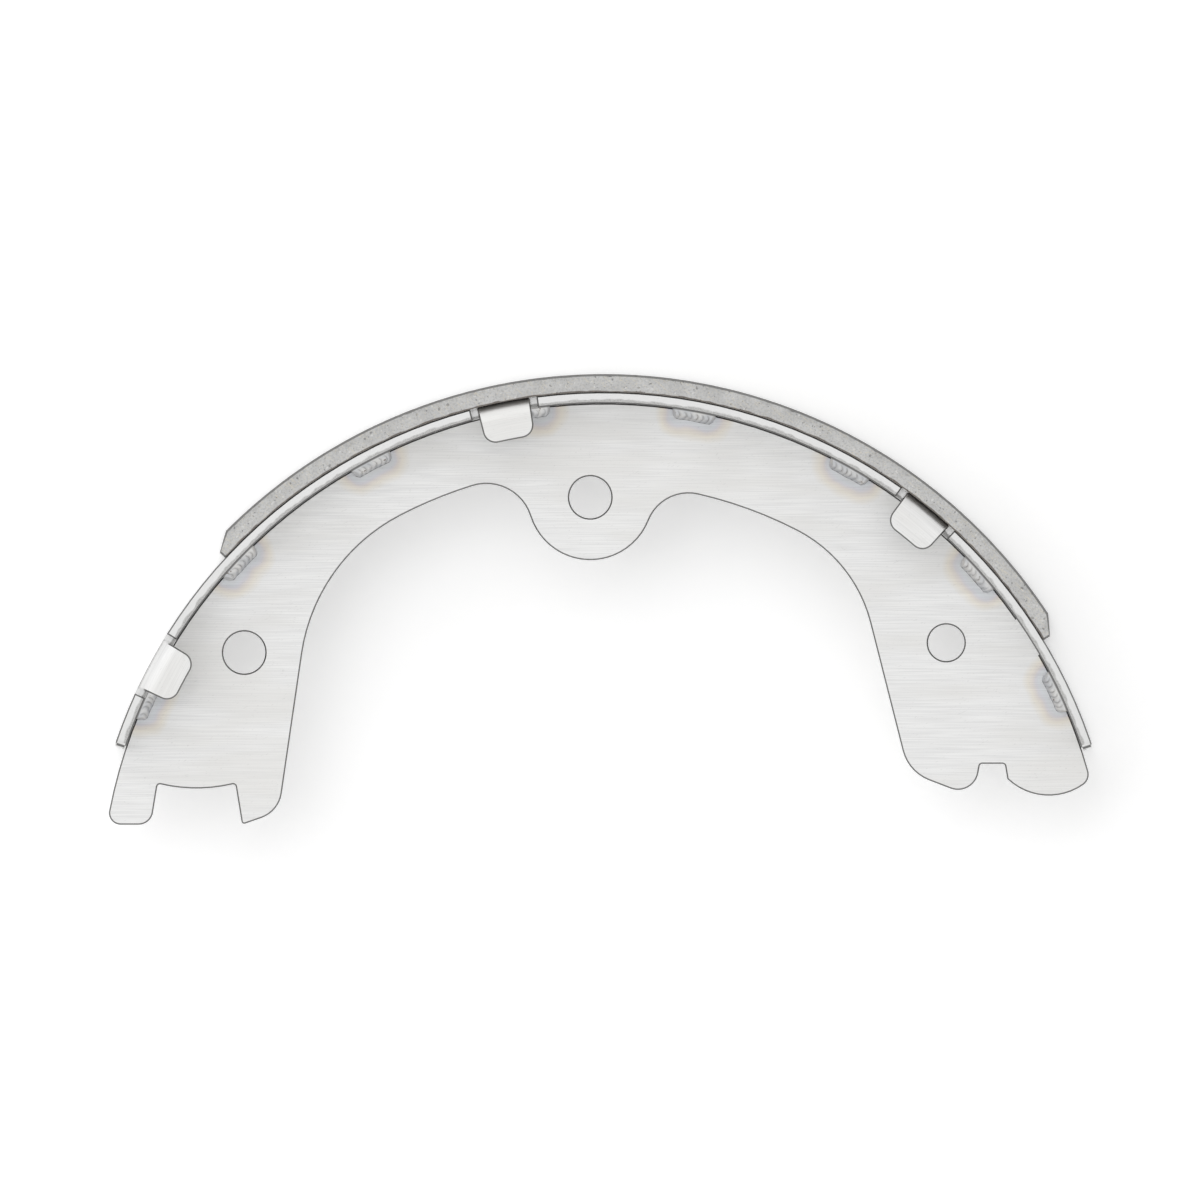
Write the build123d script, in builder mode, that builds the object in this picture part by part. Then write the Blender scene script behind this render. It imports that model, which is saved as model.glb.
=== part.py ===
from build123d import *
import os
from math import acos, cos, degrees, radians, sin, sqrt

# A drum brake shoe with a bonded lining, lying on its side.
# The drum's axis runs along Z, and the shoe is drawn as it is seen along that axis, with
# the top of its arch towards +Y. Lengths are in millimetres. Angles are in degrees about
# the drum's axis, counter-clockwise from +X. "Left" is -X. The origin is the middle of
# the hold-down hole, half way through the web, and both sides of the shoe are alike.

# Radii, worked inwards from the face that rubs on the drum.
drum_face_radius = 94.8
lining_thickness = 3.2
table_thickness = 2.0
lining_back_radius = drum_face_radius - lining_thickness
web_edge_radius = lining_back_radius - table_thickness

# Lining: a curved block of friction material, thinned at both ends.
lining_width = 32.0
lining_right_end_angle = 31.2
lining_left_end_angle = 137.3
lead_in_angle = 2.2
lead_in_drop = 1.9
lining_edge_chamfer = 0.4

# Table: the curved steel strip that carries the lining.
table_width = 32.0
table_right_end_angle = 18.0
table_left_end_angle = 161.8
table_corner_radius = 1.5
table_edge_break = 0.25

# Ears: tongues of the table, bent inwards, that slide on the brake's backing plate.
ear_angles = (50.75, 101.25, 151.75)
ear_span_angle = 6.0
ear_reach = 6.9
ear_stand_off = 0.5
ear_bend_radius = 1.0
ear_corner_radius = 2.3
relief_width = 1.2

# Web: the stamped plate that stands across the middle of the table.
web_thickness = 3.2
web_edge_break = 0.25
left_band_depth = 11.2
right_band_depth = 14.35
left_elbow_radius = 33.0
right_elbow_radius = 25.5
left_elbow_angle = 131.1
right_elbow_angle = 53.3
small_corner_radius = 0.5

# Hold-down boss: the lobe of the web round the hole for the hold-down pin.
hold_down_inset = 16.7
hold_down_angle = 91.84
hold_down_hole_radius = 3.75
boss_radius = 11.2
left_boss_fillet = 8.2
right_boss_fillet = 7.6

# Holes for the hooks of the return springs.
left_hole_inset = 11.3
left_hole_angle = 144.7
left_hole_radius = 3.75
right_hole_inset = 12.6
right_hole_angle = 37.6
right_hole_radius = 3.25

# Left foot: two prongs with the slot for the adjuster between them.
left_foot_level = 14.6
outer_prong_width = 7.9
outer_prong_heel_radius = 2.1
outer_prong_toe_radius = 2.6
slot_mouth_width = 16.2
slot_floor_width = 13.8
slot_depth = 7.3
slot_floor_radius = 27.8
inner_prong_width = 6.6
inner_prong_rise = 2.3
inner_prong_radius = 5.5

# Right foot: a rounded pad for the anchor, with a small notch beside it.
right_tip_angle = 14.7
right_tip_radius = 2.3
pad_width = 14.8
pad_radius = 10.7
notch_mouth_width = 5.3
notch_floor_width = 4.4
notch_depth = 2.7
nose_drop = 6.0
nose_set_back = 1.1
nose_radius = 3.7
heel_width = 11.7
heel_rise = 4.5
heel_radius = 7.7

# Tongue: a lug on the web's edge, seated in a blind pocket pressed into the table.
tongue_angle = 32.45
tongue_span_angle = 4.8
tongue_height = 1.3
pocket_clearance = 0.1

# Weld beads: short fillet welds in the corners between web and table.
bead_pitch_angle = 19.0
regular_bead_count = 7
left_bead_angle = 155.6
end_bead_angle = 25.35
bead_leg = 1.8
bead_root_angle = 5.0
bead_crown_angle = 4.5
bead_bulge = 0.25

# How near two lengths lie to count as the same when an edge is picked out.
tolerance = 0.001


def polar(radius, angle):
    """Return the point at this distance and direction from the drum's axis."""
    return Vector(radius * cos(radians(angle)), radius * sin(radians(angle)))


def span_of(length, radius):
    """Return the angle that a length covers on this radius."""
    return degrees(length / radius)


def radial_plane(angle):
    """Return the plane whose X is the distance from the drum's axis and whose Y is Z."""
    outwards = polar(1, angle)
    return Plane(origin=drum.origin, x_dir=outwards, z_dir=outwards.cross(Vector(0, 0, 1)))


def boss_corner(band_radius, side):
    """Return where the lobe meets the band, on its left for side 1 and right for side -1."""
    distance = web_edge_radius - hold_down_inset
    cosine = (band_radius**2 + distance**2 - boss_radius**2) / (2 * band_radius * distance)
    return polar(band_radius, hold_down_angle + side * degrees(acos(cosine)))


def beyond_bend(face):
    """Tell whether a face of the table lies further from the web than the ears' bends begin."""
    return abs(face.center().Z) > bend_start + tolerance


def at_bend_end(edge):
    """Tell whether an edge lies where an ear's bend runs out into its flat."""
    return edge.geom_type == GeomType.CIRCLE and abs(edge.radius - bend_centre_radius) < tolerance


hold_down_hole = polar(web_edge_radius - hold_down_inset, hold_down_angle)
left_hole = polar(web_edge_radius - left_hole_inset, left_hole_angle)
right_hole = polar(web_edge_radius - right_hole_inset, right_hole_angle)
drum = Plane(origin=-hold_down_hole)
drum_axis = Axis(drum.origin, (0, 0, 1))

table_middle_radius = (web_edge_radius + lining_back_radius) / 2
ear_face = table_width / 2 + ear_stand_off
bend_start = ear_face - table_thickness - ear_bend_radius
bend_centre_radius = web_edge_radius - ear_bend_radius
ear_tip_radius = lining_back_radius - ear_reach
tongue_root_radius = web_edge_radius - 2 * web_edge_break
tongue_top_radius = web_edge_radius + tongue_height


# Web

with BuildPart() as web:
    with BuildSketch(drum.offset(-web_thickness / 2)) as plate:
        # Left foot, from its outer corner to the inner side of the leg.
        left_heel = Vector(-sqrt(web_edge_radius**2 - left_foot_level**2), left_foot_level)
        left_heel_angle = degrees(acos(left_heel.X / web_edge_radius))
        slot_draft = (slot_mouth_width - slot_floor_width) / 2
        slot_near = left_heel + Vector(outer_prong_width, 0)
        slot_far = slot_near + Vector(slot_mouth_width, 0)
        slot_floor_near = slot_near + Vector(slot_draft, slot_depth)
        slot_floor_far = slot_far + Vector(-slot_draft, slot_depth)
        prong_corner = slot_far + Vector(inner_prong_width, inner_prong_rise)
        # Right foot, from the tip of its pad to the inner side of the leg.
        notch_draft = (notch_mouth_width - notch_floor_width) / 2
        pad_tip = polar(web_edge_radius, right_tip_angle)
        pad_end = pad_tip - Vector(pad_width, 0)
        notch_floor_right = pad_end + Vector(-notch_draft, notch_depth)
        notch_floor_left = notch_floor_right - Vector(notch_floor_width, 0)
        nose = notch_floor_left - Vector(nose_set_back, nose_drop)
        right_heel = nose + Vector(-heel_width, heel_rise)
        # The band that joins the two legs is deeper on the right than on the left.
        left_band_radius = web_edge_radius - left_band_depth
        right_band_radius = web_edge_radius - right_band_depth
        left_elbow = polar(left_band_radius, left_elbow_angle)
        right_elbow = polar(right_band_radius, right_elbow_angle)
        left_band_span = left_elbow_angle - hold_down_angle
        right_band_span = hold_down_angle - right_elbow_angle
        with BuildLine():
            Polyline(left_heel, slot_near, slot_floor_near)
            RadiusArc(slot_floor_near, slot_floor_far, -slot_floor_radius)
            Polyline(slot_floor_far, slot_far, prong_corner, left_elbow)
            left_band = CenterArc((0, 0), left_band_radius, hold_down_angle, left_band_span)
            right_band = CenterArc((0, 0), right_band_radius, right_elbow_angle, right_band_span)
            Line(left_band @ 0, right_band @ 1)
            Polyline(right_elbow, right_heel, nose, notch_floor_left, notch_floor_right, pad_end)
            RadiusArc(pad_end, pad_tip, -pad_radius)
            CenterArc((0, 0), web_edge_radius, right_tip_angle, left_heel_angle - right_tip_angle)
        make_face()
        with Locations(hold_down_hole):
            Circle(boss_radius)
        corner_radii = (
            (left_heel, outer_prong_heel_radius),
            (slot_near, outer_prong_toe_radius),
            (slot_floor_near, small_corner_radius),
            (slot_floor_far, small_corner_radius),
            (slot_far, small_corner_radius),
            (prong_corner, inner_prong_radius),
            (left_elbow, left_elbow_radius),
            (boss_corner(left_band_radius, 1), left_boss_fillet),
            (boss_corner(right_band_radius, -1), right_boss_fillet),
            (right_elbow, right_elbow_radius),
            (right_heel, heel_radius),
            (nose, nose_radius),
            (notch_floor_left, small_corner_radius),
            (notch_floor_right, small_corner_radius),
            (pad_end, small_corner_radius),
            (pad_tip, right_tip_radius),
        )
        for corner, radius in corner_radii:
            fillet(plate.vertices().sort_by_distance(corner)[0], radius)
        with Locations(hold_down_hole):
            Circle(hold_down_hole_radius, mode=Mode.SUBTRACT)
        with Locations(left_hole):
            Circle(left_hole_radius, mode=Mode.SUBTRACT)
        with Locations(right_hole):
            Circle(right_hole_radius, mode=Mode.SUBTRACT)
    extrude(amount=web_thickness)
    # Outline and holes are punched, and their edges are broken a little on both faces.
    rims = ShapeList()
    for face in web.faces().filter_by(Axis.Z):
        rims += face.edges()
    chamfer(rims, web_edge_break)
    # The tongue stands on the edge, and its top is an arc like the edge itself.
    with BuildSketch(drum.offset(-web_thickness / 2)):
        with BuildLine():
            tongue_start = tongue_angle - tongue_span_angle / 2
            tongue_root = CenterArc((0, 0), tongue_root_radius, tongue_start, tongue_span_angle)
            tongue_top = CenterArc((0, 0), tongue_top_radius, tongue_start, tongue_span_angle)
            Line(tongue_root @ 0, tongue_top @ 0)
            Line(tongue_root @ 1, tongue_top @ 1)
        make_face()
    extrude(amount=web_thickness)
web.part.label = "web"


# Table

with BuildPart() as table:
    with BuildSketch(radial_plane(table_right_end_angle)):
        with Locations((table_middle_radius, 0)):
            Rectangle(table_thickness, table_width)
    revolve(axis=drum_axis, revolution_arc=table_left_end_angle - table_right_end_angle)
    strip_corners = table.edges().filter_by(GeomType.LINE).sort_by(Edge.length)[:4]
    fillet(strip_corners, table_corner_radius)
    # Both edges are cut away round each ear, a little wider than the ear itself.
    window_span = ear_span_angle + 2 * span_of(relief_width, web_edge_radius)
    window_middle = (bend_start + ear_face) / 2
    for ear_angle in ear_angles:
        with BuildSketch(radial_plane(ear_angle - window_span / 2)):
            with Locations((table_middle_radius, window_middle), (table_middle_radius, -window_middle)):
                Rectangle(2 * table_thickness, ear_face - bend_start)
        revolve(axis=drum_axis, revolution_arc=window_span, mode=Mode.SUBTRACT)
    # Each ear is the strip itself, bent through a right angle towards the drum's axis.
    for ear_angle in ear_angles:
        with BuildSketch(radial_plane(ear_angle - ear_span_angle / 2)):
            with BuildLine():
                bend_centre = (bend_centre_radius, bend_start)
                outside = CenterArc(bend_centre, ear_bend_radius + table_thickness, 0, 90)
                inside = CenterArc(bend_centre, ear_bend_radius, 0, 90)
                tip_outside = (ear_tip_radius, ear_face)
                tip_inside = (ear_tip_radius, ear_face - table_thickness)
                Polyline(outside @ 1, tip_outside, tip_inside, inside @ 1)
                Line(inside @ 0, outside @ 0)
            make_face()
            mirror(about=Plane.XZ)
        revolve(axis=drum_axis, revolution_arc=ear_span_angle)
    tip_corners = table.edges().filter_by(Axis.Z).sort_by_distance(drum.origin)
    fillet(tip_corners[: 4 * len(ear_angles)], ear_corner_radius)
    # The sheared edges of strip and ears are broken a little too.
    sheared_edges = ShapeList()
    for face in table.faces().filter_by(Axis.Z).filter_by(beyond_bend):
        sheared_edges += face.edges().filter_by(at_bend_end, reverse=True)
    chamfer(sheared_edges, table_edge_break)
    # The pocket on the underside, in which the web's tongue sits.
    pocket_margin = span_of(pocket_clearance, web_edge_radius)
    pocket_start = tongue_angle - tongue_span_angle / 2 - pocket_margin
    pocket_span = tongue_span_angle + 2 * pocket_margin
    with BuildSketch(drum.offset(-web_thickness / 2 - pocket_clearance)):
        with BuildLine():
            pocket_mouth = CenterArc((0, 0), tongue_root_radius, pocket_start, pocket_span)
            pocket_floor_radius = tongue_top_radius + pocket_clearance
            pocket_floor = CenterArc((0, 0), pocket_floor_radius, pocket_start, pocket_span)
            Line(pocket_mouth @ 0, pocket_floor @ 0)
            Line(pocket_mouth @ 1, pocket_floor @ 1)
        make_face()
    extrude(amount=web_thickness + 2 * pocket_clearance, mode=Mode.SUBTRACT)
table.part.label = "table"


# Lining

with BuildPart() as lining:
    with BuildSketch(drum.offset(-lining_width / 2)):
        lining_span = lining_left_end_angle - lining_right_end_angle
        face_start = lining_right_end_angle + lead_in_angle
        lead_in_radius = drum_face_radius - lead_in_drop
        with BuildLine():
            back = CenterArc((0, 0), lining_back_radius, lining_right_end_angle, lining_span)
            face = CenterArc((0, 0), drum_face_radius, face_start, lining_span - 2 * lead_in_angle)
            Polyline(back @ 0, polar(lead_in_radius, lining_right_end_angle), face @ 0)
            Polyline(back @ 1, polar(lead_in_radius, lining_left_end_angle), face @ 1)
        make_face()
    extrude(amount=lining_width)
    face_edges = lining.edges().filter_by(GeomType.CIRCLE).sort_by(lambda edge: edge.radius)[-2:]
    chamfer(face_edges, lining_edge_chamfer)
lining.part.label = "lining"


# Weld beads

bead_angles = [left_bead_angle - bead_pitch_angle * number for number in range(regular_bead_count)]
bead_angles.append(end_bead_angle)

with BuildPart() as weld_beads:
    bead_crown_radius = web_edge_radius - bead_leg
    for bead_angle in bead_angles:
        with BuildSketch(drum.offset(web_thickness / 2)):
            with BuildLine():
                root_start = bead_angle - bead_root_angle / 2
                crown_start = bead_angle - bead_crown_angle / 2
                bead_root = CenterArc((0, 0), web_edge_radius, root_start, bead_root_angle)
                bead_crown = CenterArc((0, 0), bead_crown_radius, crown_start, bead_crown_angle)
                Line(bead_root @ 0, bead_crown @ 0)
                Line(bead_root @ 1, bead_crown @ 1)
            make_face()
        extrude(amount=bead_leg)
    # The free side of every bead is a slightly swollen slope between web and table.
    with BuildSketch(radial_plane(0)):
        with BuildLine():
            bead_corner = (web_edge_radius, web_thickness / 2)
            on_web = (bead_crown_radius, web_thickness / 2)
            on_table = (web_edge_radius, web_thickness / 2 + bead_leg)
            Polyline(on_web, bead_corner, on_table)
            SagittaArc(on_table, on_web, bead_bulge)
        make_face()
    revolve(axis=drum_axis, mode=Mode.INTERSECT)
    mirror(about=Plane.XY)
weld_beads.part.label = "weld_beads"


os.makedirs("parts", exist_ok=True)
export_step(web.part, "parts/web.step")
export_step(table.part, "parts/table.step")
export_step(lining.part, "parts/lining.step")
export_step(weld_beads.part, "parts/weld_beads.step")
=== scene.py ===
from math import atan2, ceil, cos, pi, radians, sin

import bmesh
import bpy
from mathutils import Matrix, Vector, noise


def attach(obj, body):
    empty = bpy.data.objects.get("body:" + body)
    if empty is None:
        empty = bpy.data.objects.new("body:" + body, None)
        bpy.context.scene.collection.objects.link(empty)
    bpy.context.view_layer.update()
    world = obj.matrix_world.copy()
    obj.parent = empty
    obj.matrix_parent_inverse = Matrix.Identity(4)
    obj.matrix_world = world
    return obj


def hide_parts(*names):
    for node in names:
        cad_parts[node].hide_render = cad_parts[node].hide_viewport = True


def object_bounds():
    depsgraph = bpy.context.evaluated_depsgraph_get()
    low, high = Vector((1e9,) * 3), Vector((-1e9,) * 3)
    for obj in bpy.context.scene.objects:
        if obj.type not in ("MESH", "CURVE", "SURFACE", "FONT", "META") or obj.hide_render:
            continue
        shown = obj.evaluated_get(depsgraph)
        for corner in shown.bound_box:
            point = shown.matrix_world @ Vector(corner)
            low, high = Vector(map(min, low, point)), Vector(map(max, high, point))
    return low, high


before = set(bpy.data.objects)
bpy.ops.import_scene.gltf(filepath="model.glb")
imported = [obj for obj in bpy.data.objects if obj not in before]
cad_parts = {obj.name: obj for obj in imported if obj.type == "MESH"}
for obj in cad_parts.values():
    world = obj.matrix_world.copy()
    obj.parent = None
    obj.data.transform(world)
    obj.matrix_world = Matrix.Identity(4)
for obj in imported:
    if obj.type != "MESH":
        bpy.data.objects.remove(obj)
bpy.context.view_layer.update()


# Web
# The plate that stands across the middle of the shoe, stamped from 3.2 mm rolled sheet steel.
# Its faces keep the lines of the rolls. Its edge is burnished where the punch entered and torn
# below that, and the sheet is tinted where the heat of the welds reached it.

millimetre = 0.001
web_thickness = 0.0032
web_edge_radius = 0.0896
hold_down_distance = 0.0729
hold_down_angle = radians(91.84)
drum_axis = Vector((-cos(hold_down_angle), -sin(hold_down_angle), 0)) * hold_down_distance

# Sizes of a finish are in millimetres, and its angles along the arc are in degrees.
one_degree_of_arc = radians(1) * web_edge_radius / millimetre

steel_light = (0.80, 0.80, 0.795, 1)
steel_shade = (0.71, 0.71, 0.707, 1)
steel_film = (0.73, 0.723, 0.705, 1)
burnished_edge = (0.72, 0.72, 0.715, 1)
torn_edge = (0.42, 0.418, 0.41, 1)
painted_edge_shade = (0.07, 0.069, 0.067, 1)
bare_metal = 0.9
painted_edge_shade_share = 0.85

hairline_size = (9, 0.15, 0.15)
hairline_height = 0.005
hairline_roughness = 0.08
film_patch_size = (26, 8, 8)
scratch_size = (7, 0.14, 0.14)
scratch_slant = (0.1, 0.25, 0.42)
scratch_depth = 0.005
scratch_darkness = 0.25

burnish_end = 1.35
tear_start = 1.8
tear_waver = 0.9
tear_waver_size = (1.6, 1.6, 1.6)
tear_darkness = 0.55
drag_mark_size = (0.16, 0.16, 3.0)
drag_mark_height = 0.008
torn_grit_size = (0.2, 0.2, 0.2)
torn_grit_height = 0.04

bead_pitch = 19.0
first_bead = 41.6
last_bead = 155.6
end_bead = 25.35
hot_half_length = 2.4
hot_radius = 89.0
hot_height = 2.2
heat_reach = 5.2
heat_strength = 0.34
heat_loss_in_plate = 2.3
heat_waver = 1.8
heat_waver_size = (4, 4, 4)
hottest_tint = (0.40, 0.41, 0.42, 1)
no_tint = (1, 1, 1, 1)
heat_tints_end = 0.95
heat_tints = (
    (0.36, (0.46, 0.53, 0.64, 1)),
    (0.46, (0.50, 0.46, 0.58, 1)),
    (0.55, (0.70, 0.55, 0.45, 1)),
    (0.68, (0.92, 0.79, 0.57, 1)),
)


def new_finish(name):
    """Start a material, and return it with its shader."""
    finish = bpy.data.materials.new(name)
    finish.use_nodes = True
    return finish, finish.node_tree.nodes["Principled BSDF"]


def add_node(finish, kind, feeds=None, **options):
    """Add a shader node with these options, its inputs fed by sockets or set to values."""
    made = finish.node_tree.nodes.new(kind)
    for option, choice in options.items():
        setattr(made, option, choice)
    for name, feed in (feeds or {}).items():
        if isinstance(feed, bpy.types.NodeSocket):
            finish.node_tree.links.new(feed, made.inputs[name])
        else:
            made.inputs[name].default_value = feed
    return made


def reckon(finish, operation, *numbers):
    """Return the outcome of a sum on numbers and sockets."""
    feeds = dict(enumerate(numbers))
    return add_node(finish, "ShaderNodeMath", feeds, operation=operation).outputs[0]


def fade(finish, number, start, end, low=0.0, high=1.0):
    """Return what goes smoothly from low to high while the number goes from start to end."""
    feeds = {"Value": number, "From Min": start, "From Max": end, "To Min": low, "To Max": high}
    return add_node(finish, "ShaderNodeMapRange", feeds, interpolation_type="SMOOTHSTEP").outputs[0]


def tint(finish, share, first, second, way="MIX"):
    """Return the colour that lies this share of the way from the first to the second."""
    feeds = {0: share, 6: first, 7: second}
    return add_node(finish, "ShaderNodeMix", feeds, data_type="RGBA", blend_type=way).outputs[2]


def spots(finish, place, size, turn=(0, 0, 0), detail=2.0, seed=0.0):
    """Return soft random spots, of about this size along each axis after a turn."""
    feeds = {"Vector": place, "Location": (seed, seed, seed), "Rotation": turn, "Scale": size}
    moved = add_node(finish, "ShaderNodeMapping", feeds, vector_type="TEXTURE").outputs[0]
    feeds = {"Vector": moved, "Scale": 1.0, "Detail": detail}
    return add_node(finish, "ShaderNodeTexNoise", feeds).outputs[0]


def about_the_drum(finish):
    """Return the place on the piece, in millimetres from the drum's axis."""
    millimetres = 1 / millimetre
    place = add_node(finish, "ShaderNodeTexCoord").outputs["Object"]
    feeds = {"Vector": place, "Location": -drum_axis * millimetres, "Scale": [millimetres] * 3}
    return add_node(finish, "ShaderNodeMapping", feeds).outputs[0]


def unrolled(finish, place):
    """Return the place as the length along the arc, the distance from the axis and the height."""
    parts = add_node(finish, "ShaderNodeSeparateXYZ", {0: place}).outputs
    flat = add_node(finish, "ShaderNodeCombineXYZ", {0: parts[0], 1: parts[1]}).outputs[0]
    feeds = {0: flat}
    radius = add_node(finish, "ShaderNodeVectorMath", feeds, operation="LENGTH").outputs["Value"]
    angle = reckon(finish, "ARCTAN2", parts[1], parts[0])
    arc = reckon(finish, "MULTIPLY", angle, web_edge_radius / millimetre)
    return add_node(finish, "ShaderNodeCombineXYZ", {0: arc, 1: radius, 2: parts[2]}).outputs[0]


def rolled_steel(finish, lie):
    """Return the colour, roughness and relief of satin sheet steel that was rolled along X."""
    hairlines = spots(finish, lie, hairline_size, detail=1.0, seed=11)
    clouds = spots(finish, lie, film_patch_size, detail=2.0, seed=29)
    scratches = spots(finish, lie, scratch_size, turn=scratch_slant, detail=0.0, seed=71)
    scratches = fade(finish, scratches, 0.76, 0.8)
    colour = tint(finish, fade(finish, hairlines, 0.3, 0.72), steel_light, steel_shade)
    colour = tint(finish, fade(finish, clouds, 0.42, 0.66, high=0.6), colour, steel_film)
    darkened = reckon(finish, "MULTIPLY", scratches, scratch_darkness)
    colour = tint(finish, darkened, colour, torn_edge)
    roughness = fade(finish, clouds, 0.35, 0.65, low=0.34, high=0.44)
    roughness = reckon(finish, "MULTIPLY_ADD", hairlines, hairline_roughness, roughness)
    relief = reckon(finish, "MULTIPLY", hairlines, hairline_height)
    relief = reckon(finish, "MULTIPLY_ADD", scratches, -scratch_depth, relief)
    return colour, roughness, relief


def blended(finish, share, first, second):
    """Return the look that lies this share of the way from the first look to the second."""
    numbers = []
    for plain, other in zip(first[1:], second[1:]):
        feeds = {0: share, 2: plain, 3: other}
        numbers.append(add_node(finish, "ShaderNodeMix", feeds, data_type="FLOAT").outputs[0])
    return tint(finish, share, first[0], second[0]), *numbers


def sheared(finish, place, depth, share, look):
    """Give the share of a surface that was sheared a burnished band and, deeper, a torn one."""
    wander = spots(finish, place, tear_waver_size, detail=1.0, seed=13)
    drag = spots(finish, place, drag_mark_size, detail=0.0, seed=19)
    grit = spots(finish, place, torn_grit_size, detail=1.0, seed=23)
    wander = reckon(finish, "SUBTRACT", wander, 0.5)
    level = reckon(finish, "MULTIPLY_ADD", wander, tear_waver, depth)
    torn = fade(finish, level, burnish_end, tear_start)
    dull = tint(finish, fade(finish, grit, 0.35, 0.65), torn_edge, burnished_edge)
    dull = tint(finish, tear_darkness, dull, torn_edge)
    bright = tint(finish, fade(finish, drag, 0.35, 0.65), burnished_edge, steel_shade)
    edge_colour = tint(finish, torn, bright, dull)
    edge_roughness = fade(finish, torn, 0.0, 1.0, low=0.3, high=0.6)
    edge_relief = reckon(finish, "MULTIPLY", drag, drag_mark_height)
    edge_relief = reckon(finish, "MULTIPLY_ADD", grit, torn_grit_height, edge_relief)
    return blended(finish, share, look, (edge_colour, edge_roughness, edge_relief))


def weld_distance(finish, arc_place):
    """Return how far the place is from the hottest part of the nearest weld, in millimetres."""
    arc, radius, height = add_node(finish, "ShaderNodeSeparateXYZ", {0: arc_place}).outputs[:]
    angle = reckon(finish, "DIVIDE", arc, one_degree_of_arc)
    along = reckon(finish, "SUBTRACT", angle, first_bead)
    along = reckon(finish, "PINGPONG", along, bead_pitch / 2)
    along = reckon(finish, "MAXIMUM", along, reckon(finish, "SUBTRACT", first_bead, angle))
    along = reckon(finish, "MAXIMUM", along, reckon(finish, "SUBTRACT", angle, last_bead))
    from_end_bead = reckon(finish, "ABSOLUTE", reckon(finish, "SUBTRACT", angle, end_bead))
    along = reckon(finish, "MINIMUM", along, from_end_bead)
    along = reckon(finish, "MULTIPLY", along, one_degree_of_arc)
    along = reckon(finish, "SUBTRACT", along, hot_half_length)
    through_plate = reckon(finish, "SUBTRACT", radius, web_edge_radius / millimetre)
    through_plate = reckon(finish, "MULTIPLY", through_plate, heat_loss_in_plate)
    inwards = reckon(finish, "SUBTRACT", hot_radius, radius)
    across = reckon(finish, "MAXIMUM", inwards, through_plate)
    upwards = reckon(finish, "SUBTRACT", reckon(finish, "ABSOLUTE", height), hot_height)
    ways = enumerate((along, across, upwards))
    gaps = {axis: reckon(finish, "MAXIMUM", way, 0) for axis, way in ways}
    gap = add_node(finish, "ShaderNodeCombineXYZ", gaps).outputs[0]
    return add_node(finish, "ShaderNodeVectorMath", {0: gap}, operation="LENGTH").outputs["Value"]


def heat_tinted(finish, arc_place, colour):
    """Return the colour with the bands that welding heat leaves on bare steel round each bead."""
    waver = spots(finish, arc_place, heat_waver_size, detail=1.0, seed=31)
    waver = reckon(finish, "SUBTRACT", waver, 0.5)
    distance = weld_distance(finish, arc_place)
    distance = reckon(finish, "MULTIPLY_ADD", waver, heat_waver, distance)
    distance = reckon(finish, "DIVIDE", distance, heat_reach)
    bands = add_node(finish, "ShaderNodeValToRGB", {0: distance})
    ramp = bands.color_ramp
    ramp.elements[0].color = hottest_tint
    ramp.elements[1].position = heat_tints_end
    ramp.elements[1].color = no_tint
    for position, band in heat_tints:
        ramp.elements.new(position).color = band
    return tint(finish, heat_strength, colour, bands.outputs[0], way="MULTIPLY")


def set_look(finish, shader, look):
    """Feed the shader with a look's colour, roughness and relief."""
    colour, roughness, relief = look
    bump = add_node(finish, "ShaderNodeBump", {"Height": relief, "Distance": millimetre})
    finish.node_tree.links.new(bump.outputs[0], shader.inputs["Normal"])
    finish.node_tree.links.new(colour, shader.inputs["Base Color"])
    finish.node_tree.links.new(roughness, shader.inputs["Roughness"])


def facing(finish):
    """Return the surface's direction as three numbers."""
    direction = add_node(finish, "ShaderNodeTexCoord").outputs["Normal"]
    return add_node(finish, "ShaderNodeSeparateXYZ", {0: direction}).outputs


def stamped_sheet_steel():
    """Return the finish of the web."""
    finish, shader = new_finish("stamped_sheet_steel")
    place = about_the_drum(finish)
    height = add_node(finish, "ShaderNodeSeparateXYZ", {0: place}).outputs[2]
    upright = reckon(finish, "ABSOLUTE", facing(finish)[2])
    wall = fade(finish, upright, 0.5, 0.4)
    depth = reckon(finish, "SUBTRACT", web_thickness / 2 / millimetre, height)
    look = sheared(finish, place, depth, wall, rolled_steel(finish, place))
    off_wall = reckon(finish, "SUBTRACT", 1, wall)
    # The chamfers of the edges are painted dark as shade, to outline the plate.
    shaded_rim = reckon(finish, "MULTIPLY", fade(finish, upright, 0.93, 0.88), off_wall)
    colour = tint(finish, reckon(finish, "MULTIPLY", shaded_rim, painted_edge_shade_share), look[0], painted_edge_shade)
    colour = heat_tinted(finish, unrolled(finish, place), colour)
    set_look(finish, shader, (colour, *look[1:]))
    shader.inputs["Metallic"].default_value = bare_metal
    return finish


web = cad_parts["web"]
web.material_slots[0].material = stamped_sheet_steel()


# Table
# The strip that carries the lining, rolled to the drum's curve from 2 mm steel and sheared to
# width. Its six ears are bent in from its own edges, and the web is welded along its middle.
# Its broken edges are painted dark as shade, and so is a streaked band where the outside of
# each bend begins.

table_thickness = 0.002
strip_depth = 1.9
strip_depth_end = 1.98
shear_depth_scale = 1.2
first_ear = 50.75
ear_pitch = 50.5
ear_half_span = 3.1
ear_side_fade = 0.05
ear_face = 0.0165
bend_start = 13.5
bend_depth = 3.4
bend_depth_end = 3.8
# The band of painted shade on the outside of the ears' bends.
bend_shade_reach = 0.6
bend_shade_depth = 0.5
bend_shade_streak_size = (0.13, 4, 4)
faintest_bend_shade = 0.38
strongest_bend_shade = 0.62


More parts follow.
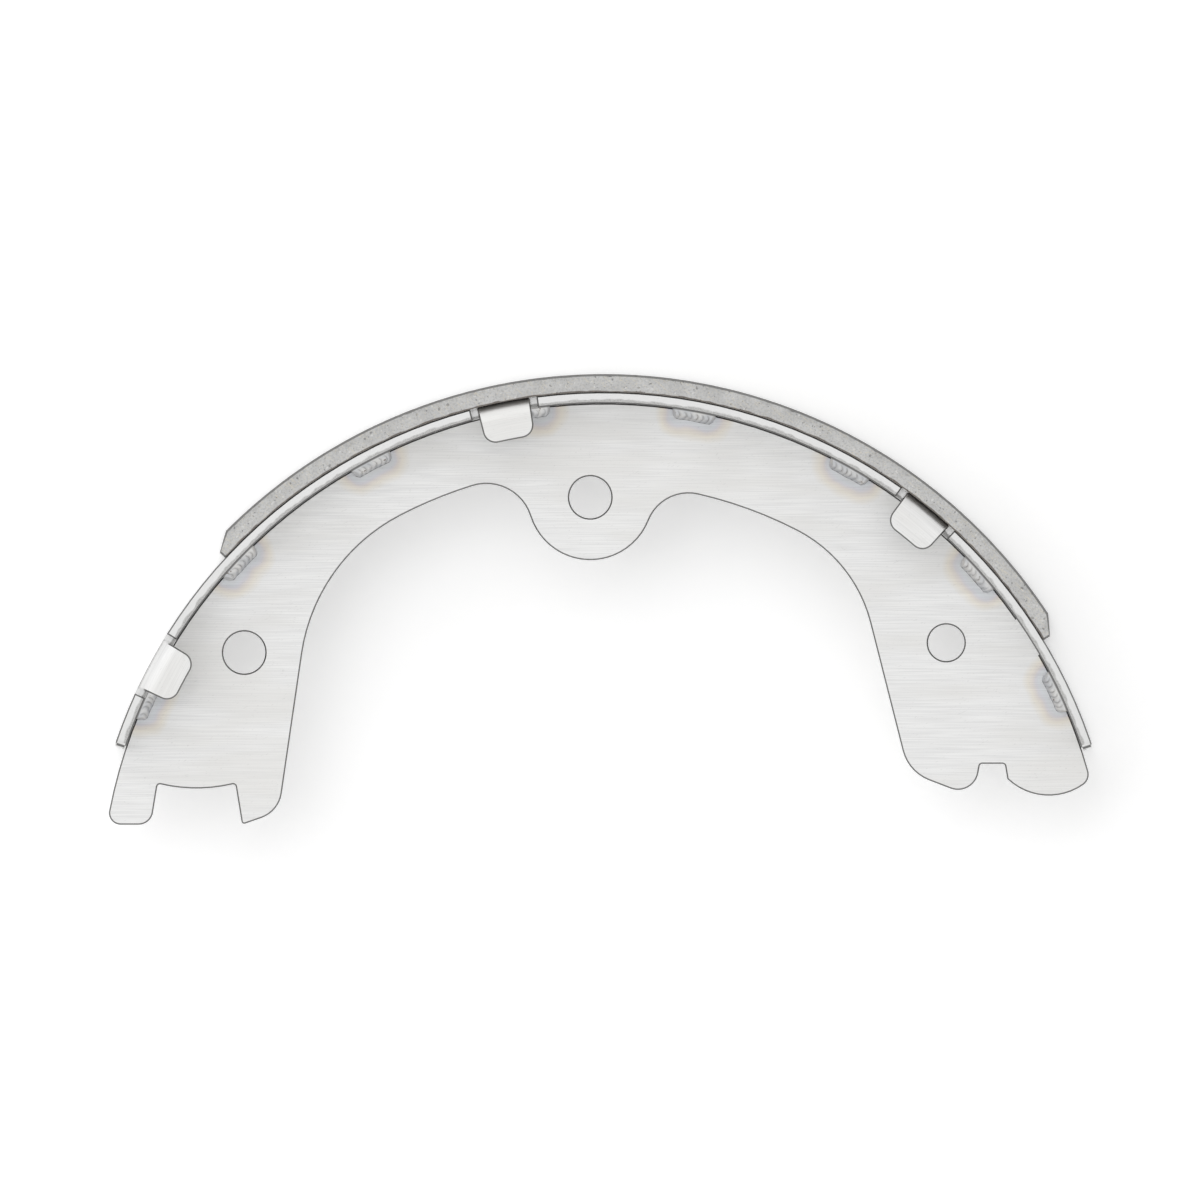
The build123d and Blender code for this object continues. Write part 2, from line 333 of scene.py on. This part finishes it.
def rolled_strip_steel():
    """Return the finish of the table, whose rolling lines run round the arc."""
    finish, shader = new_finish("rolled_strip_steel")
    place = about_the_drum(finish)
    arc_place = unrolled(finish, place)
    arc, radius, height = add_node(finish, "ShaderNodeSeparateXYZ", {0: arc_place}).outputs[:]
    across, outwards, upwards = facing(finish)[:]
    flat = add_node(finish, "ShaderNodeCombineXYZ", {0: across, 1: outwards}).outputs[0]
    feeds = {0: place, 1: flat}
    crossed = add_node(finish, "ShaderNodeVectorMath", feeds, operation="CROSS_PRODUCT").outputs[0]
    turned = add_node(finish, "ShaderNodeSeparateXYZ", {0: crossed}).outputs[2]
    tangential = reckon(finish, "ABSOLUTE", reckon(finish, "DIVIDE", turned, radius))
    upright = reckon(finish, "ABSOLUTE", upwards)
    back_radius = (web_edge_radius + table_thickness) / millimetre
    out_in = reckon(finish, "SUBTRACT", back_radius, radius)
    level = reckon(finish, "ABSOLUTE", height)
    ear_depth = reckon(finish, "SUBTRACT", ear_face / millimetre, level)

    # The sheared edges of the strip, of its ends and of the ears.
    in_strip = fade(finish, out_in, strip_depth_end, strip_depth)
    slit_edge = reckon(finish, "MULTIPLY", fade(finish, upright, 0.9, 0.97), in_strip)
    end_wall = fade(finish, tangential, 0.85, 0.95)
    wall = reckon(finish, "MAXIMUM", slit_edge, end_wall)
    wall_depth = reckon(finish, "MINIMUM", out_in, ear_depth)
    feeds = {0: slit_edge, 2: wall_depth, 3: out_in}
    depth = add_node(finish, "ShaderNodeMix", feeds, data_type="FLOAT").outputs[0]
    depth = reckon(finish, "MULTIPLY", depth, shear_depth_scale)
    look = sheared(finish, arc_place, depth, wall, rolled_steel(finish, arc_place))

    # The broken edges are painted dark as shade, but not the bends of the ears, which slant in the
    # same way.
    along = reckon(finish, "DIVIDE", arc, one_degree_of_arc)
    from_ear = reckon(finish, "SUBTRACT", along, first_ear)
    from_ear = reckon(finish, "PINGPONG", from_ear, ear_pitch / 2)
    off_ear = fade(finish, from_ear, ear_half_span, ear_half_span + ear_side_fade)
    slant = fade(finish, upright, 0.5, 0.6)
    slant = reckon(finish, "MULTIPLY", slant, fade(finish, upright, 0.88, 0.8))
    beyond_bend = fade(finish, out_in, bend_depth, bend_depth_end)
    beyond_bend = reckon(finish, "MAXIMUM", fade(finish, tangential, 0.3, 0.5), beyond_bend)
    shaded_rim = reckon(finish, "MULTIPLY", slant, reckon(finish, "MAXIMUM", off_ear, beyond_bend))
    colour = tint(finish, reckon(finish, "MULTIPLY", shaded_rim, painted_edge_shade_share), look[0], painted_edge_shade)

    # A streaked band of painted shade, where the outside of a bend begins.
    bend_shade = fade(finish, level, bend_start - bend_shade_reach, bend_start + bend_shade_reach)
    bend_shade = reckon(finish, "MULTIPLY", bend_shade, fade(finish, out_in, bend_shade_depth, 0))
    bend_shade = reckon(finish, "MULTIPLY", bend_shade, reckon(finish, "SUBTRACT", 1, off_ear))
    bend_shade_streaks = spots(finish, arc_place, bend_shade_streak_size, detail=1.0, seed=37)
    bend_shade_streaks = fade(finish, bend_shade_streaks, 0.36, 0.62, low=faintest_bend_shade, high=strongest_bend_shade)
    colour = tint(finish, reckon(finish, "MULTIPLY", bend_shade, bend_shade_streaks), colour, painted_edge_shade)
    colour = heat_tinted(finish, arc_place, colour)
    set_look(finish, shader, (colour, *look[1:]))
    shader.inputs["Metallic"].default_value = bare_metal
    return finish


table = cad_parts["table"]
table.material_slots[0].material = rolled_strip_steel()


# Weld beads
# Sixteen short fillet welds, eight on each face of the web, laid in the corner between web and
# table. Each was laid in one pass and swells a little, with the ripples of the pool that
# followed the arc.

bead_leg = 0.0018
bead_span = radians(5.0)
bead_crown_share = 0.9
bead_swell = 0.00025
bead_steps = 56
bead_free_points = 12
bead_count = 7
bead_sharp_angle = radians(50)
ripple_pitch = 0.0011
ripple_height = 0.00022
ripple_valley_share = 0.6
ripple_lag = 0.0008
ripple_unevenness = 0.35
ripple_uneven_length = 0.002
bead_end_round = 0.0007
bead_end_drop = 0.3
bead_end_calm = 0.6
toe_waver = 0.00008
toe_waver_length = 0.0011
toe_waver_slope = 1.5
next_bead_shift = 7.3
least_depth = 1e-9

bright_weld = (0.68, 0.675, 0.665, 1)
dull_weld = (0.55, 0.56, 0.575, 1)
weld_island = (0.16, 0.12, 0.09, 1)
valley_colour = (0.13, 0.125, 0.12, 1)
weld_cloud_size = (2.4, 2.4, 2.4)
weld_island_size = (0.7, 0.7, 0.7)
weld_grain_size = (0.18, 0.18, 0.18)
weld_grain_height = 0.012
toe_line_start = 0.22
toe_line_full = 0.06


def bead_section():
    """Return the corner of a bead and the points of its swollen free side, from web to table."""
    corner = Vector((web_edge_radius, 0, web_thickness / 2))
    on_web = corner - Vector((bead_leg, 0, 0))
    on_table = corner + Vector((0, 0, bead_leg))
    free_side = []
    for number in range(bead_free_points + 1):
        share = number / bead_free_points
        swell = Vector((-1, 0, 1)).normalized() * bead_swell * sin(pi * share)
        free_side.append(on_web.lerp(on_table, share) + swell)
    return [corner, *free_side]


def rippled_place(point, middle, seed):
    """Return where a point of a straight bead goes once its ends, ripples and toes are shaped."""
    radius = point.xy.length
    angle = atan2(point.y, point.x) - middle
    corner = Vector((web_edge_radius, web_thickness / 2))
    section = Vector((radius, point.z)) - corner
    depth = (section.y - section.x) / bead_leg
    across = section.y / max(section.y - section.x, least_depth)
    along = angle * web_edge_radius
    to_end = max(bead_span / 2 * web_edge_radius - abs(along), 0)
    short = max(1 - to_end / bead_end_round, 0)
    section *= 1 - bead_end_drop * short * short
    crown = sin(pi * min(max(across, 0), 1))
    where = Vector((along / toe_waver_length, seed * next_bead_shift, across * toe_waver_slope))
    section *= 1 + toe_waver / bead_leg * noise.noise(where) * min(depth, 1)
    unevenness = ripple_unevenness * noise.noise(Vector((along / ripple_uneven_length, seed, 0)))
    phase = (along + ripple_lag * crown) / ripple_pitch + unevenness
    lift = ripple_height * (abs(sin(pi * phase)) - ripple_valley_share)
    lift = lift * crown ** 0.5 * min(depth, 1) * (1 - bead_end_calm * short)
    section += Vector((-1, 1)).normalized() * lift
    narrowed = 1 - (1 - bead_crown_share) * min(max(-section.x / bead_leg, 0), 1)
    place = corner + section
    turned = middle + angle * narrowed
    return Vector((place.x * cos(turned), place.x * sin(turned), place.y))


def close_ends(shape):
    """Fill both open ends of a swept shape."""
    bmesh.ops.holes_fill(shape, edges=[edge for edge in shape.edges if edge.is_boundary], sides=0)


def lay_bead(bead, middle):
    """Lay one plain bead about the drum's axis, on the upper side of the web."""
    ring = [bead.verts.new(point) for point in bead_section()]
    edges = [bead.edges.new((ring[number - 1], ring[number])) for number in range(len(ring))]
    start = Matrix.Rotation(middle - bead_span / 2, 4, "Z")
    bmesh.ops.rotate(bead, cent=(0, 0, 0), matrix=start, verts=ring)
    bmesh.ops.spin(
        bead, geom=ring + edges, cent=(0, 0, 0), axis=(0, 0, 1), angle=bead_span, steps=bead_steps
    )
    close_ends(bead)


def finished_mesh(name, shape, sharp_angle):
    """Turn a shape about the drum's axis into a smooth object in the shoe's own frame."""
    bmesh.ops.translate(shape, vec=drum_axis, verts=shape.verts)
    bmesh.ops.recalc_face_normals(shape, faces=shape.faces)
    mesh = bpy.data.meshes.new(name)
    shape.to_mesh(mesh)
    shape.free()
    mesh.shade_smooth()
    mesh.set_sharp_from_angle(angle=sharp_angle)
    piece = bpy.data.objects.new(name, mesh)
    bpy.context.scene.collection.objects.link(piece)
    return piece


def weld_metal():
    """Return the finish of the beads: bright ripples, with dark glassy islands in between."""
    finish, shader = new_finish("weld_metal")
    place = about_the_drum(finish)
    islands = spots(finish, place, weld_island_size, detail=2.0, seed=5)
    grain = spots(finish, place, weld_grain_size, detail=3.0, seed=15)
    clouds = spots(finish, place, weld_cloud_size, detail=2.0, seed=25)
    colour = tint(finish, fade(finish, clouds, 0.35, 0.65), bright_weld, dull_weld)
    curve = add_node(finish, "ShaderNodeNewGeometry").outputs["Pointiness"]
    colour = tint(finish, fade(finish, curve, 0.5, 0.44, high=0.7), colour, valley_colour)
    colour = tint(finish, fade(finish, islands, 0.66, 0.72, high=0.8), colour, weld_island)
    arc_place = unrolled(finish, place)
    _, radius, height = add_node(finish, "ShaderNodeSeparateXYZ", {0: arc_place}).outputs[:]
    level = reckon(finish, "ABSOLUTE", height)
    web_toe = reckon(finish, "SUBTRACT", level, web_thickness / 2 / millimetre)
    table_toe = reckon(finish, "SUBTRACT", web_edge_radius / millimetre, radius)
    toes = reckon(finish, "MINIMUM", web_toe, table_toe)
    toes = fade(finish, toes, toe_line_start, toe_line_full, high=0.8)
    colour = tint(finish, toes, colour, valley_colour)
    roughness = fade(finish, grain, 0.3, 0.7, low=0.28, high=0.45)
    relief = reckon(finish, "MULTIPLY", grain, weld_grain_height)
    set_look(finish, shader, (colour, roughness, relief))
    shader.inputs["Metallic"].default_value = bare_metal
    return finish


beads = bmesh.new()
bead_middles = [radians(last_bead - bead_pitch * number) for number in range(bead_count)]
bead_middles.append(radians(end_bead))
for seed, middle in enumerate(bead_middles):
    for side in (1, -1):
        bead = bmesh.new()
        lay_bead(bead, middle)
        for vert in bead.verts:
            vert.co = rippled_place(vert.co, middle, seed * side)
        bmesh.ops.scale(bead, vec=(1, 1, side), verts=bead.verts)
        laid = bpy.data.meshes.new("laid_bead")
        bead.to_mesh(laid)
        bead.free()
        beads.from_mesh(laid)
        bpy.data.meshes.remove(laid)
weld_beads = finished_mesh("rippled_weld_beads", beads, bead_sharp_angle)
weld_beads.data.materials.append(weld_metal())
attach(weld_beads, "root")
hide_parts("weld_beads")


# Lining
# The block of moulded friction compound that rubs on the drum, bonded to the table. Fibres,
# rubber and mineral grains are mixed in it. Its working face was ground round to the drum's
# size, which left fine lines round the arc and a slightly crumbled edge.

lining_back_radius = 0.0916
drum_face_radius = 0.0948
lining_width = 0.032
lining_start = radians(31.2)
lining_end = radians(137.3)
lead_in = radians(2.2)
lead_in_drop = 0.0019
lining_edge_chamfer = 0.0004
end_chamfer = 0.00035
lining_step = 0.0004
side_pieces = 8
chamfer_pieces = 3
face_pieces = 44
back_pieces = 20
lining_sharp_angle = radians(40)
crumble_depth = 0.00022
crumble_reach = 0.0009
crumb_size = 0.0011
fine_crumb_size = 0.00045
fine_crumb_share = 0.6
crumble_threshold = 0.15

compound_light = (0.60, 0.60, 0.595, 1)
compound_shade = (0.53, 0.53, 0.526, 1)
sand_colour = (0.40, 0.40, 0.396, 1)
grinding_colour = (0.39, 0.39, 0.386, 1)
rubber_colour = (0.19, 0.188, 0.185, 1)
mineral_colour = (0.74, 0.735, 0.72, 1)
fibre_colour = (0.67, 0.62, 0.51, 1)
pore_colour = (0.13, 0.128, 0.125, 1)
glue_colour = (0.07, 0.05, 0.035, 1)
painted_lining_edge_shade = (0.14, 0.138, 0.135, 1)
lump_size = (3.5, 3.5, 3.5)
sand_size = (0.35, 0.35, 0.35)
sand_height = 0.035
grinding_size = (16, 0.22, 0.22)
grinding_height = 0.03
rubber_size = (1.0, 1.0, 1.0)
rubber_level = 0.69
rubber_strength = 0.7
rubber_depth = 0.012
mineral_size = (0.7, 0.7, 0.7)
mineral_level = 0.7
mineral_strength = 0.6
pore_size = (0.45, 0.45, 0.45)
pore_level = 0.73
pore_strength = 0.7
pore_depth = 0.05
fibre_size = (2.6, 0.13, 0.13)
fibre_level = 0.715
fibre_level_end = 0.755
fibre_strength = 0.75
fibre_turns = (((0, 0.3, 0.4), 41), ((0.6, 0, -0.7), 53), ((0.2, 1.1, 1.5), 67))
glue_waver = 0.5
glue_waver_size = (2.5, 0.5, 0.5)
glue_edge_fade = 0.06
glue_strength = 0.8
lining_edge_shade_share = 0.8
speck_edge = 0.03


def lining_section(shape):
    """Draw the lining's section in the plane of X and Z, with finer steps near its worn edges."""
    half = lining_width / 2
    shoulder = drum_face_radius - lining_edge_chamfer
    inner_width = half - lining_edge_chamfer
    corners = (
        (lining_back_radius, -half, side_pieces),
        (shoulder, -half, chamfer_pieces),
        (drum_face_radius, -inner_width, face_pieces),
        (drum_face_radius, inner_width, chamfer_pieces),
        (shoulder, half, side_pieces),
        (lining_back_radius, half, back_pieces),
    )
    ring = [shape.verts.new((radius, 0, height)) for radius, height, _ in corners]
    sides = [shape.edges.new((ring[number - 1], ring[number])) for number in range(len(ring))]
    for side, (_, _, pieces) in zip(sides[1:] + sides[:1], corners):
        bmesh.ops.subdivide_edges(shape, edges=[side], cuts=pieces - 1)


def sweep(shape, ring, angle):
    """Carry a ring on round the arc by this angle, and return the ring at its end."""
    steps = ceil(angle * drum_face_radius / lining_step)
    spun = bmesh.ops.spin(
        shape, geom=ring, cent=(0, 0, 0), axis=(0, 0, 1), angle=angle, steps=steps
    )
    return spun["geom_last"]


def crumbled_place(point):
    """Return where a point of the full arc goes: thinned at both ends and crumbled at the edges."""
    radius = point.xy.length
    angle = atan2(point.y, point.x)
    from_end = min(angle - lining_start, lining_end - angle)
    thinning = max(1 - from_end / lead_in, 0) * lead_in_drop
    depth = (radius - lining_back_radius) / (drum_face_radius - lining_back_radius)
    radius -= thinning * depth
    to_edge = max(lining_width / 2 - abs(point.z), 0)
    near_face = max(drum_face_radius - thinning - radius, 0)
    near = max(1 - (to_edge + near_face) / crumble_reach, 0)
    where = Vector((angle * radius, radius, point.z))
    crumbs = noise.noise(where / crumb_size)
    crumbs += fine_crumb_share * noise.noise(where / fine_crumb_size)
    loss = crumble_depth * near * max(crumbs - crumble_threshold, 0)
    radius -= loss
    cut_in = end_chamfer * max(1 - from_end * radius / end_chamfer, 0)
    height = point.z * (1 - cut_in / (lining_width / 2)) - loss * (1 if point.z > 0 else -1)
    return Vector((radius * cos(angle), radius * sin(angle), height))


def specks(finish, place, size, level, seed):
    """Return where ragged specks lie, rarer the higher the level is."""
    speckled = spots(finish, place, size, detail=1.0, seed=seed)
    return fade(finish, speckled, level, level + speck_edge)


def strewn(finish, share, strength, colour, other):
    """Return the colour with this much of another one where the share says that it lies."""
    return tint(finish, reckon(finish, "MULTIPLY", share, strength), colour, other)


def friction_compound():
    """Return the finish of the lining."""
    finish, shader = new_finish("friction_compound")
    place = about_the_drum(finish)
    arc_place = unrolled(finish, place)
    radius = add_node(finish, "ShaderNodeSeparateXYZ", {0: arc_place}).outputs[1]
    upright = reckon(finish, "ABSOLUTE", facing(finish)[2])

    # The moulded compound, and the lines that grinding left on all but its flat sides.
    lumps = spots(finish, place, lump_size, detail=2.0, seed=2)
    sand = spots(finish, place, sand_size, detail=2.0, seed=8)
    ground = spots(finish, arc_place, grinding_size, detail=1.0, seed=14)
    colour = tint(finish, fade(finish, lumps, 0.35, 0.65), compound_light, compound_shade)
    colour = tint(finish, fade(finish, sand, 0.42, 0.7, high=0.6), colour, sand_colour)
    lines = fade(finish, ground, 0.42, 0.66, high=0.6)
    lines = reckon(finish, "MULTIPLY", lines, fade(finish, upright, 0.5, 0.3))
    colour = tint(finish, lines, colour, grinding_colour)

    # What is mixed in: rubber, mineral grains and fibres, and the pores between them.
    rubber = specks(finish, place, rubber_size, rubber_level, 21)
    colour = strewn(finish, rubber, rubber_strength, colour, rubber_colour)
    mineral = specks(finish, place, mineral_size, mineral_level, 33)
    colour = strewn(finish, mineral, mineral_strength, colour, mineral_colour)
    fibres = None
    for turn, seed in fibre_turns:
        strand = spots(finish, place, fibre_size, turn=turn, detail=0.0, seed=seed)
        strand = fade(finish, strand, fibre_level, fibre_level_end)
        fibres = strand if fibres is None else reckon(finish, "MAXIMUM", fibres, strand)
    colour = strewn(finish, fibres, fibre_strength, colour, fibre_colour)
    pores = specks(finish, place, pore_size, pore_level, 77)
    colour = strewn(finish, pores, pore_strength, colour, pore_colour)

    # The line of glue along the table, and the chamfered edges, painted dark as shade.
    waver = spots(finish, arc_place, glue_waver_size, detail=1.0, seed=88)
    back_radius = lining_back_radius / millimetre
    glue_height = reckon(finish, "MULTIPLY_ADD", waver, glue_waver, back_radius)
    glue = reckon(finish, "SUBTRACT", radius, glue_height)
    glue = fade(finish, glue, glue_edge_fade, -glue_edge_fade)
    colour = strewn(finish, glue, glue_strength, colour, glue_colour)
    slant = fade(finish, upright, 0.22, 0.34)
    slant = reckon(finish, "MULTIPLY", slant, fade(finish, upright, 0.95, 0.85))
    colour = strewn(finish, slant, lining_edge_shade_share, colour, painted_lining_edge_shade)

    roughness = fade(finish, sand, 0.3, 0.7, low=0.7, high=0.86)
    relief = reckon(finish, "MULTIPLY", sand, sand_height)
    relief = reckon(finish, "MULTIPLY_ADD", ground, grinding_height, relief)
    relief = reckon(finish, "MULTIPLY_ADD", pores, -pore_depth, relief)
    relief = reckon(finish, "MULTIPLY_ADD", rubber, -rubber_depth, relief)
    set_look(finish, shader, (colour, roughness, relief))
    return finish


block = bmesh.new()
lining_section(block)
first_turn = Matrix.Rotation(lining_start, 4, "Z")
bmesh.ops.rotate(block, cent=(0, 0, 0), matrix=first_turn, verts=block.verts)
ring = list(block.verts) + list(block.edges)
for angle in (lead_in, lining_end - lining_start - 2 * lead_in, lead_in):
    ring = sweep(block, ring, angle)
close_ends(block)
for vert in block.verts:
    vert.co = crumbled_place(vert.co)
lining = finished_mesh("moulded_lining", block, lining_sharp_angle)
lining.data.materials.append(friction_compound())
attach(lining, "root")
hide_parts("lining")


# Floor, light and camera
# A white table top under the shoe, in a white room. Two broad soft lamps hang in one place above
# and to its left: the steel mirrors one of them, and the other only lights. The camera looks
# straight down along the drum's axis, with no perspective, as a drawing does.

floor_size = 6.0
floor_gap = 0.00002
floor_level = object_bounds()[0].z - floor_gap
floor_colour = (0.9, 0.9, 0.9, 1)
floor_glow = 0.30
room_light = 0.7
white = (1, 1, 1, 1)
lamp_size = 1.6
lamp_place = Vector((-0.62, 0.56, 1.05))
lamps = (("soft_lamp", 2.9, True), ("veiled_lamp", 5.3, False))
picture_pixels = 1200
pixels_per_metre = 5620
picture_axis = (603.4, 906.8)
camera_height = 0.5


def seen_directly(nodes, links):
    """Return a share that is 1 where the camera sees a surface, itself or in metal or glass."""
    path = nodes.new("ShaderNodeLightPath")
    either = path.outputs["Is Camera Ray"]
    for kind in ("Is Glossy Ray", "Is Transmission Ray"):
        larger = nodes.new("ShaderNodeMath")
        larger.operation = "MAXIMUM"
        links.new(either, larger.inputs[0])
        links.new(path.outputs[kind], larger.inputs[1])
        either = larger.outputs[0]
    return either


sheet = bmesh.new()
bmesh.ops.create_grid(sheet, x_segments=1, y_segments=1, size=floor_size / 2)
bmesh.ops.translate(sheet, vec=(0, 0, floor_level), verts=sheet.verts)
floor_mesh = bpy.data.meshes.new("floor")
sheet.to_mesh(floor_mesh)
sheet.free()
floor = bpy.data.objects.new("floor", floor_mesh)
bpy.context.scene.collection.objects.link(floor)

white_top = bpy.data.materials.new("white_top")
white_top.use_nodes = True
floor_nodes = white_top.node_tree.nodes
floor_nodes.clear()
diffuse = floor_nodes.new("ShaderNodeBsdfDiffuse")
diffuse.inputs["Color"].default_value = floor_colour
glow = floor_nodes.new("ShaderNodeEmission")
glow_strength = floor_nodes.new("ShaderNodeMath")
glow_strength.operation = "MULTIPLY"
glow_strength.inputs[1].default_value = floor_glow
both = floor_nodes.new("ShaderNodeAddShader")
floor_output = floor_nodes.new("ShaderNodeOutputMaterial")
floor_links = white_top.node_tree.links
floor_links.new(seen_directly(floor_nodes, floor_links), glow_strength.inputs[0])
floor_links.new(glow_strength.outputs[0], glow.inputs["Strength"])
floor_links.new(diffuse.outputs[0], both.inputs[0])
floor_links.new(glow.outputs[0], both.inputs[1])
floor_links.new(both.outputs[0], floor_output.inputs["Surface"])
floor.data.materials.append(white_top)

room = bpy.data.worlds.new("room")
room.use_nodes = True
bpy.context.scene.world = room
room_nodes = room.node_tree.nodes
room_links = room.node_tree.links
background = room_nodes["Background"]
background.inputs["Color"].default_value = white
room_strength = room_nodes.new("ShaderNodeMix")
room_strength.inputs[2].default_value = room_light
room_strength.inputs[3].default_value = 1.0
room_links.new(seen_directly(room_nodes, room_links), room_strength.inputs[0])
room_links.new(room_strength.outputs[0], background.inputs["Strength"])

for lamp_name, power, shows_in_metal in lamps:
    lamp_data = bpy.data.lights.new(lamp_name, "AREA")
    lamp_data.shape = "SQUARE"
    lamp_data.size = lamp_size
    lamp_data.energy = power
    lamp = bpy.data.objects.new(lamp_name, lamp_data)
    lamp.location = lamp_place
    lamp.rotation_euler = (-lamp_place).to_track_quat("-Z", "Y").to_euler()
    lamp.visible_glossy = shows_in_metal
    bpy.context.scene.collection.objects.link(lamp)

camera_data = bpy.data.cameras.new("camera")
camera_data.type = "ORTHO"
camera_data.ortho_scale = picture_pixels / pixels_per_metre
camera = bpy.data.objects.new("camera", camera_data)
picture_middle = picture_pixels / 2
camera.location = drum_axis + Vector((
    (picture_middle - picture_axis[0]) / pixels_per_metre,
    (picture_axis[1] - picture_middle) / pixels_per_metre,
    camera_height,
))
bpy.context.scene.collection.objects.link(camera)
bpy.context.scene.camera = camera

bpy.context.scene.view_settings.view_transform = "Standard"
